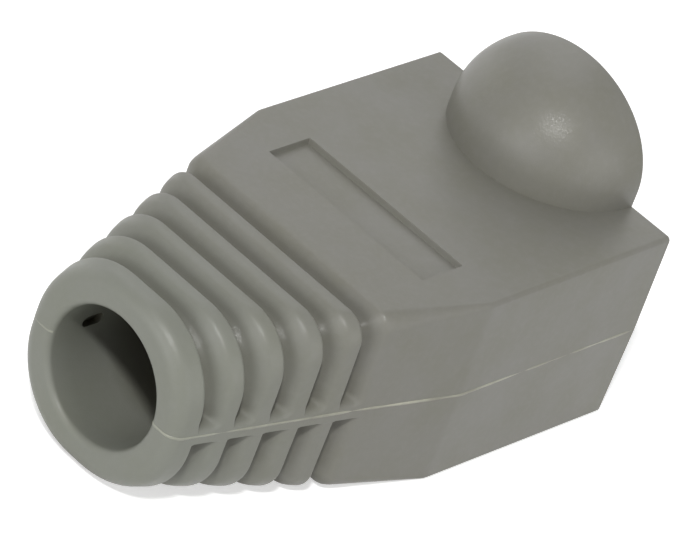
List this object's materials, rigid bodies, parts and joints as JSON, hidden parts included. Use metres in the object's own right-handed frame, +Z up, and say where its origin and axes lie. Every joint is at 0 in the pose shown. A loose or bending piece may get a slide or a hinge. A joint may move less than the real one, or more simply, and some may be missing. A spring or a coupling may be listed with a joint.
{
  "type": "rj45 strain relief boot",
  "caption": "One-piece soft boot: a ribbed tapering sleeve grips the cable, a rectangular hood covers the plug's back and a hollow dome shields its latch.",
  "frame": {"origin": "centre of the cable bore at the cable end face", "axes": "+X along the cable's axis towards the plug, +Z up through the latch dome, +Y across the hood"},
  "size_m": [0.0246, 0.014, 0.0137],
  "materials": {
    "boot_vinyl": "satin moulded vinyl, warm mid grey"
  },
  "bodies": {
    "root": {"boot": "boot_vinyl"}
  },
  "joints": []
}
